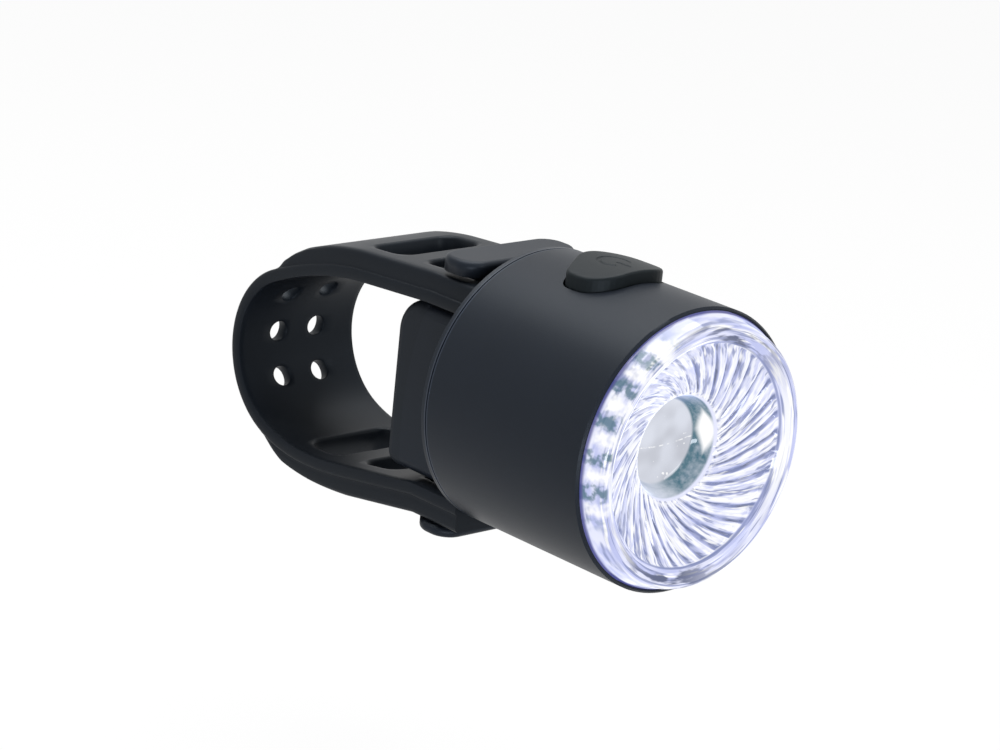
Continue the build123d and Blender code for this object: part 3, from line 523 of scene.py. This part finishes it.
# %% Make the button
BUTTON_TOP_R, BUTTON_MIDDLE = 21.75, np.array([0.0, 13.6])
button_shape = rounded_outline(
    [(-7.15, 19.0), (7.15, 19.0), (7.15, 11.9), (0.0, 7.75), (-7.15, 11.9)], [4.6, 4.6, 2.0, 4.5, 2.0])


def symbol_depth(x, w):
    """0.12 mm deep broken ring of radius 2.1 round (0, 13.8), and a bar towards the lens through its gap."""
    rel_w = w - 13.8
    r, turn = np.hypot(x, rel_w), np.abs(np.degrees(np.arctan2(x, rel_w)))
    soft = lambda away, half: np.clip((half - away) / 0.2 + 0.5, 0, 1)
    ring = soft(np.abs(r - 2.1), 0.26) * np.clip((turn - 35) / 3, 0, 1)
    bar = soft(np.abs(x), 0.26) * soft(np.abs(rel_w - 2.0), 1.3)
    return 0.12 * np.maximum(ring, bar)


def button_surface(samples=320, rings=90, edge=0.38):
    """Rings from under the shell, up the outline's side, round the edge, and over the top. A point's height
    is the root of R squared less x squared, R being BUTTON_TOP_R less the ring's drop. On top, the
    symbol's depth comes off that."""
    angles = np.linspace(-np.pi, np.pi, samples, endpoint=False)
    rim = radial(button_shape, BUTTON_MIDDLE, angles)
    out = (rim - BUTTON_MIDDLE) / np.linalg.norm(rim - BUTTON_MIDDLE, axis=1)[:, None]
    rows = []
    for drop in (4.6, 2.6, 1.6, edge):
        rows.append(lamp(rim[:, 0], np.sqrt((BUTTON_TOP_R - drop) ** 2 - rim[:, 0] ** 2), rim[:, 1]))
    for t in np.linspace(0, np.pi / 2, 9)[1:]:
        p = rim - out * edge * (1 - math.cos(t))
        rows.append(lamp(p[:, 0], np.sqrt((BUTTON_TOP_R - edge * (1 - math.sin(t))) ** 2 - p[:, 0] ** 2), p[:, 1]))
    inner = rim - out * edge
    for share in np.linspace(1, 0.004, rings)[1:]:
        p = BUTTON_MIDDLE + (inner - BUTTON_MIDDLE) * share
        top = np.sqrt(BUTTON_TOP_R ** 2 - p[:, 0] ** 2) - symbol_depth(p[:, 0], p[:, 1])
        rows.append(lamp(p[:, 0], top, p[:, 1]))
    return np.stack(rows)


button_points = button_surface()
soft_button = make_piece("soft_button", [
    surface(button_points, close_columns=True), disc_fan(button_points[-1]), disc_fan(button_points[0])],
    "button", "button", 60.0, 0.001)
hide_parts("button_cap")

# %% [markdown]
# ## The strap
# The strap is one silicone ladder: thick arms with windows for the hooks, ramping down to a thin band
# with two columns of holes that wraps the handlebar. It is worked out flat first, as distance s along
# its inner line and x across it, and then bent: a point goes to the inner line at s, plus h along the
# line's normal. Windows and holes are cut in the flat sheet, one to a block, and keep their true shape.

# %% Draw the strap's inner line
def hermite(p0, p1, t0, t1, steps):
    """Cubic from p0 to p1 with end directions t0 and t1, each as long as the chord."""
    p0, p1, t0, t1 = (np.asarray(q, float) for q in (p0, p1, t0, t1))
    u = np.linspace(0, 1, steps)[:, None]
    chord = np.linalg.norm(p1 - p0)
    t0, t1 = t0 / np.linalg.norm(t0) * chord, t1 / np.linalg.norm(t1) * chord
    return ((2 * u ** 3 - 3 * u ** 2 + 1) * p0 + (u ** 3 - 2 * u ** 2 + u) * t0
            + (3 * u ** 2 - 2 * u ** 3) * p1 + (u ** 3 - u ** 2) * t1)


BAR_R, WRAP = 11.6, math.radians(65.0)
wrap_top = np.array([math.cos(WRAP), math.sin(WRAP)]) * BAR_R
wrap_low = wrap_top * [1, -1]
arc = np.linspace(WRAP, -WRAP, 60)
inner_line = np.concatenate([
    [(-38.35, 16.7), (-28.5, 16.7)],
    hermite((-14.0, 15.7), wrap_top, (14.5, -1.0), (math.sin(WRAP), -math.cos(WRAP)), 50),
    np.stack([np.cos(arc), np.sin(arc)], axis=1)[1:-1] * BAR_R,
    hermite(wrap_low, (-14.0, -11.7), (-math.sin(WRAP), -math.cos(WRAP)), (-14.5, 2.2), 50),
    [(-28.5, -9.5), (-38.35, -9.5)]])
line_s = np.concatenate([[0], np.cumsum(np.linalg.norm(np.diff(inner_line, axis=0), axis=1))])
STRAP_LENGTH = line_s[-1]


def at(s):
    """Point and outward normal of the inner line at distance s, the normal smoothed over 1.5 mm."""
    s = np.asarray(s, float)
    point = lambda q: np.stack([np.interp(q, line_s, inner_line[:, k]) for k in (0, 1)], axis=-1)
    ahead = point(np.clip(s + 0.75, 0, STRAP_LENGTH)) - point(np.clip(s - 0.75, 0, STRAP_LENGTH))
    ahead /= np.linalg.norm(ahead, axis=-1, keepdims=True)
    return point(s), np.stack([-ahead[..., 1], ahead[..., 0]], axis=-1)


def s_of(y, top=True):
    """Distance along the inner line where it passes y, on the top or the bottom arm."""
    half = len(inner_line) // 2
    part = slice(0, half) if top else slice(half, None)
    ys, ss = inner_line[part, 0], line_s[part]
    return float(np.interp(y, ys, ss)) if top else float(np.interp(y, ys[::-1], ss[::-1]))


BAND_T, ARM_T = 1.9, 4.6
top_ramp = [(-14, ARM_T), (-7, 4.45), (-2.5, 4.1), (0.2, 3.55), (2.4, 2.85), (4.0, BAND_T)]  # y and thickness
low_ramp = [(4.9, BAND_T), (2.6, 2.75), (-0.2, 3.7), (-5.6, 4.11), (-14, ARM_T)]
ramp_s = [s_of(y) for y, _ in top_ramp] + [s_of(y, False) for y, _ in low_ramp]
ramp_t = [t for _, t in top_ramp + low_ramp]


def thickness(s):
    """Thickness along s: full on the arms, and down to the band's by straight pieces between the ramps' marks."""
    return np.interp(s, ramp_s, ramp_t)


def bent(s, x, h):
    """The flat sheet's point (s, x, h) bent round the bar: the inner line's point at s, plus h along the
    normal there, with x kept."""
    s, x, h = np.broadcast_arrays(s, x, h)
    point, normal = at(s)
    p = point + normal * h[..., None]
    return np.stack([x, p[..., 0], p[..., 1]], axis=-1)


print("strap length", round(float(STRAP_LENGTH), 1), "mm")

# %% [markdown]
# A block of the sheet with one hole is a ring of quads between the block's border and the hole's
# outline, joined along rays from the hole's middle. Its border has the same points as its neighbours'.

# %% Cut one hole in a block of a sheet
def border(s_values, x_values):
    """Points round a block, from its first corner, with the block's own spacing."""
    s, x = np.asarray(s_values), np.asarray(x_values)
    return np.concatenate([
        np.stack([s[:-1], np.full(len(s) - 1, x[0])], 1), np.stack([np.full(len(x) - 1, s[-1]), x[:-1]], 1),
        np.stack([s[:0:-1], np.full(len(s) - 1, x[-1])], 1), np.stack([np.full(len(x) - 1, s[0]), x[:0:-1]], 1)])


def angles_round(points, middle):
    """Polar angles of points about a middle."""
    return np.arctan2(points[:, 1] - middle[1], points[:, 0] - middle[0])


def holed_block(s_values, x_values, outline, middle, rings=3):
    """Rings from the hole's outline out to the block's border: rings + 1 rows of points in s and x, each a
    straight blend of the two."""
    edge = border(s_values, x_values)
    hole = radial(outline, middle, angles_round(edge, middle))
    t = np.linspace(0, 1, rings + 1)[:, None, None]
    return hole + (edge - hole) * t


def window_outline(s0, s1, half, grow, corner=2.2):
    """Rounded rectangle from s0 to s1 and across 2 x half, grown outwards."""
    r = corner + grow
    return rounded_outline([(s0 - grow, -half - grow), (s1 + grow, -half - grow), (s1 + grow, half + grow),
                            (s0 - grow, half + grow)], [r] * 4, 8)


def round_outline(s, x, radius):
    """Circle of the given radius about (s, x) in the flat sheet."""
    t = np.linspace(0, 2 * np.pi, 48, endpoint=False)
    return np.stack([s + radius * np.cos(t), x + radius * np.sin(t)], axis=1)


# %% Put the strap together
WINDOW_EDGE, HOLE_EDGE, WINDOW_HALF = 0.45, 0.15, 7.5
row_step, row_turn, HOLE_R, HOLE_X = math.radians(33.5) * BAR_R, math.radians(1.5) * BAR_R, 1.5, 3.6
middle_s = (s_of(4.9) + s_of(4.9, False)) / 2
windows = [(s_of(-35.5), s_of(-23.5)), (s_of(-19.2), s_of(-12.0)),
           (s_of(-2.0, False), s_of(-9.0, False)), (s_of(-14.0, False), s_of(-21.5, False)),
           (s_of(-26.5, False), s_of(-35.5, False))]
holes = [middle_s - row_turn + k * row_step for k in (-1, 0, 1)]
half_face = 9.95
x_all = np.linspace(-half_face, half_face, 41)
x_half = len(x_all) // 2
cuts = sorted([(s0 - 1.0, s1 + 1.0, (s0, s1), "window") for s0, s1 in windows]
              + [(h - 2.9, h + 2.9, (h, h), "holes") for h in holes])
surfaces, s_marks, place = [], [0.0], 0.0


def faces_both(s, x, **closed):
    """The sheet's inner face, at height 0, and its outer face, at its thickness, over the same points."""
    return [surface(bent(s, x, h), **closed) for h in (0 * s, thickness(s))]


for start, end, span, kind in cuts + [(STRAP_LENGTH, STRAP_LENGTH, None, "end")]:
    start, end = max(start, 0.0), min(end, STRAP_LENGTH)
    if start - place > 0.05:
        s_values = np.linspace(place, start, max(2, int((start - place) / 0.6) + 1))
        s_marks += list(s_values[1:])
        surfaces += faces_both(*np.meshgrid(s_values, x_all, indexing="ij"))
    if kind == "end":
        break
    s_values = np.linspace(start, end, max(3, int((end - start) / 0.45) + 1))
    s_marks += list(s_values[1:])
    two_halves = [(x_all[:x_half + 1], -HOLE_X), (x_all[x_half:], HOLE_X)]
    parts = [(x_all, 0.0)] if kind == "window" else two_halves
    for x_values, x_mid in parts:
        middle = np.array([(span[0] + span[1]) / 2, x_mid])
        if kind == "window":
            edge_mm, shape = WINDOW_EDGE, lambda grow: window_outline(*span, WINDOW_HALF, grow)
        else:
            edge_mm, shape = HOLE_EDGE, lambda grow: round_outline(*middle, HOLE_R + grow)
        angles = angles_round(border(s_values, x_values), middle)
        flat = holed_block(s_values, x_values, shape(edge_mm), middle)
        surfaces += faces_both(flat[..., 0], flat[..., 1], close_columns=True)
        wall = []
        for from_top, share in [(False, 0.0), (False, 0.35), (False, 1.0), (True, 1.0), (True, 0.35), (True, 0.0)]:
            s, x = radial(shape(edge_mm * (1 - share) ** 2), middle, angles).T
            wall.append(bent(s, x, thickness(s) - share * edge_mm if from_top else share * edge_mm))
        surfaces.append(surface(np.stack(wall), close_columns=True))
    place = end

# sides: from the inner face round its edge, past the ledge where the layers meet, to the outer face
s_side = np.array(s_marks)
t_side = thickness(s_side)
upper = np.maximum(t_side - BAND_T, 0.0)
round_up = np.clip(upper / 1.2, 0, 1)
level = 0 * t_side
side_rows = [  # x on the arms, x on the band, height
    (half_face, half_face, level), (10.5, 10.5, level), (10.86, 10.86, level + 0.12), (11.0, 11.0, level + 0.45),
    (11.0, 11.0, level + 1.45), (10.95, 10.95, level + 1.70), (10.82, 10.84, level + 1.84),
    (10.70, 10.74, level + BAND_T), (10.66, 10.65, np.minimum(2.05, t_side)), (10.70, 10.56, BAND_T + 0.25 * upper),
    (10.70, 10.46, BAND_T + 0.72 * upper), (10.6, 10.36, BAND_T + 0.88 * upper), (10.3, 10.2, BAND_T + 0.97 * upper),
    (half_face, half_face, t_side)]
side = [(arm_x * round_up + band_x * (1 - round_up), height) for arm_x, band_x, height in side_rows]
for sign in (-1, 1):
    surfaces.append(surface(np.stack([bent(s_side, sign * x, h) for x, h in side])))
across = np.linspace(0, 1, len(x_all))[:, None, None]
for k, s_end in ((0, 0.0), (-1, STRAP_LENGTH)):
    x, h = np.array([(x[k], h[k]) for x, h in side]).T
    left_row, right_row = (bent(np.full(len(x), s_end), sign * x, h) for sign in (-1, 1))
    surfaces.append(surface(left_row * (1 - across) + right_row * across))
ladder_strap = make_piece("ladder_strap", surfaces, "lamp_body", "strap", 40.0, 0.02)
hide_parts("strap")

# %% [markdown]
# ## The machined and moulded pieces that stay
# The other pieces keep the construction's own shape. Their meshes are loose triangles, so a copy of each
# one that shows is merged and shaded smooth; on round walls the normals are set straight out from the
# axis, which removes the facets' streaks.

# %% Smooth copies of the pieces that show
def smooth_copy(node, name, body, slot, radii=(), sharp_degrees=32.0):
    """Merge a copy of a node. A triangle with its three corners on a round wall gets normals straight out
    from the axis, one on a flat end gets its own, and a node without round walls gets weighted normals."""
    mesh = frame["nodes"][node].data.copy()
    mesh.name = name
    shell = bmesh.new()
    shell.from_mesh(mesh)
    bmesh.ops.remove_doubles(shell, verts=shell.verts, dist=2e-6)
    shell.to_mesh(mesh)
    shell.free()
    mesh.shade_smooth()
    mesh.set_sharp_from_angle(angle=math.radians(sharp_degrees))
    count = len(mesh.vertices)
    points = np.empty(count * 3)
    mesh.vertices.foreach_get("co", points)
    points = points.reshape(-1, 3) / MM
    normals = np.array([corner.vector[:] for corner in mesh.corner_normals])
    corner_vertex = np.empty(len(mesh.loops), int)
    mesh.loops.foreach_get("vertex_index", corner_vertex)
    p = points[corner_vertex]
    out = np.stack([p[:, 0], 0 * p[:, 0], p[:, 2] - HEAD_AXIS_Z], axis=1)
    reach = np.linalg.norm(out, axis=1)
    out /= np.maximum(reach, 1e-6)[:, None]
    facing = np.repeat([face.normal[:] for face in mesh.polygons], 3, axis=0)
    for radius in radii:
        on_wall = (np.abs(reach - radius) < 0.03).reshape(-1, 3).all(axis=1).repeat(3) & (np.abs(facing[:, 1]) < 0.3)
        normals[on_wall] = (out * np.sign((facing * out).sum(axis=1))[:, None])[on_wall]
    flat_end = np.abs(facing[:, 1]) > 0.9995
    normals[flat_end] = facing[flat_end]
    piece = bpy.data.objects.new(name, mesh)
    bpy.context.collection.objects.link(piece)
    if radii:
        mesh.normals_split_custom_set(normals.tolist())
    else:
        weighted = piece.modifiers.new("flat faces stay flat", "WEIGHTED_NORMAL")
        weighted.keep_sharp, weighted.weight = True, 80
    mesh.materials.clear()
    mesh.materials.append(finishes[slot].material)
    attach(piece, body)
    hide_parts(node)
    print(name, "vertices", count)


BORE_R, SEAT_R = 18.4, 19.5
smooth_copy("housing_shell", "head_shell", "lamp_body", "body", (HEAD_R, BORE_R, SEAT_R))
smooth_copy("rear_cover", "back_cover", "lamp_body", "cover", (HEAD_R,))
smooth_copy("mount_block", "hook_block", "lamp_body", "body")
smooth_copy("bar_pad", "rubber_pad", "lamp_body", "pad")
smooth_copy("port_cover", "charging_flap_skin", "charging_flap", "seal", (HEAD_R,))

# %% Finish every node that stays
slot_of = {entry["node"]: entry["material_slot"] for entry in frame["record"]["subparts"]}
for node, thing in frame["nodes"].items():
    thing.data.materials.clear()
    thing.data.materials.append(finishes[slot_of[node]].material)
print("finished nodes", len(frame["nodes"]))

# %% [markdown]
# ## Floor, backdrop and light
# The photograph's ground is pure white. The floor and the world look white to the camera and to
# glossy and clear surfaces, and the light on the lamp stays at a plain level. Three soft boxes stand
# round it: a large one above and a little behind, a long low one on the camera's side, one in front.

# %% Build the stage
def pale_floor():
    """A pale diffuse floor that the camera and reflections see as nearly white, its shadow kept."""
    f = Finish("pale_floor", Base_Color=(0.8, 0.8, 0.8, 1.0), Roughness=0.9)
    path = f.node("ShaderNodeLightPath")
    outputs = path.socket.node.outputs
    seen = f.math("MAXIMUM", f.math("MAXIMUM", path, Wire(f, outputs["Is Glossy Ray"])),
                  Wire(f, outputs["Is Transmission Ray"]))
    white = f.node("ShaderNodeEmission", None, {"Color": (1, 1, 1, 1), "Strength": 1.0})
    blend = f.node("ShaderNodeMixShader", None, {0: seen * 0.93, 1: Wire(f, f.shader.outputs[0]), 2: white})
    f.put(f.tree.nodes["Material Output"].inputs["Surface"], blend)
    return f


FLOOR_Z, AMBIENT = -60.0, 0.35
side_m = 6.0
floor_mesh = bpy.data.meshes.new("floor")
floor_mesh.from_pydata([(-side_m, -side_m, FLOOR_Z * MM), (side_m, -side_m, FLOOR_Z * MM),
                        (side_m, side_m, FLOOR_Z * MM), (-side_m, side_m, FLOOR_Z * MM)], [], [(0, 1, 2, 3)])
floor = bpy.data.objects.new("floor", floor_mesh)
bpy.context.collection.objects.link(floor)
floor_mesh.materials.append(pale_floor().material)

world = bpy.data.worlds.new("studio")
bpy.context.scene.world = world
world.use_nodes = True
tree = world.node_tree
path = tree.nodes.new("ShaderNodeLightPath")
mask = path.outputs["Is Camera Ray"]
for word in ("Is Glossy Ray", "Is Transmission Ray"):
    either = tree.nodes.new("ShaderNodeMath")
    either.operation = "MAXIMUM"
    tree.links.new(mask, either.inputs[0])
    tree.links.new(path.outputs[word], either.inputs[1])
    mask = either.outputs[0]
strength = tree.nodes.new("ShaderNodeMath")
strength.operation = "MULTIPLY_ADD"
strength.inputs[1].default_value, strength.inputs[2].default_value = 1.0 - AMBIENT, AMBIENT
tree.links.new(mask, strength.inputs[0])
tree.links.new(strength.outputs[0], tree.nodes["Background"].inputs["Strength"])
tree.nodes["Background"].inputs["Color"].default_value = (1, 1, 1, 1)


def soft_box(name, place_mm, aim_mm, size_mm, watts, colour=(1, 1, 1)):
    """Rectangular area light at a place, facing a point."""
    lamp_data = bpy.data.lights.new(name, "AREA")
    lamp_data.shape = "RECTANGLE"
    lamp_data.size, lamp_data.size_y = (s * MM for s in size_mm)
    lamp_data.energy, lamp_data.color = watts, colour
    box = bpy.data.objects.new(name, lamp_data)
    bpy.context.collection.objects.link(box)
    box.location = Vector(place_mm) * MM
    box.rotation_mode = "QUATERNION"
    box.rotation_quaternion = (Vector(aim_mm) * MM - box.location).to_track_quat("-Z", "Y")


soft_box("top_box", (40, 60, 420), (0, -35, 5), (420, 420), 3.0)
soft_box("low_box", (-260, -330, -40), (0, -55, 0), (300, 60), 1.0, (0.9, 0.93, 1.0))
soft_box("front_box", (120, -520, 220), (0, -50, 5), (300, 200), 0.9)
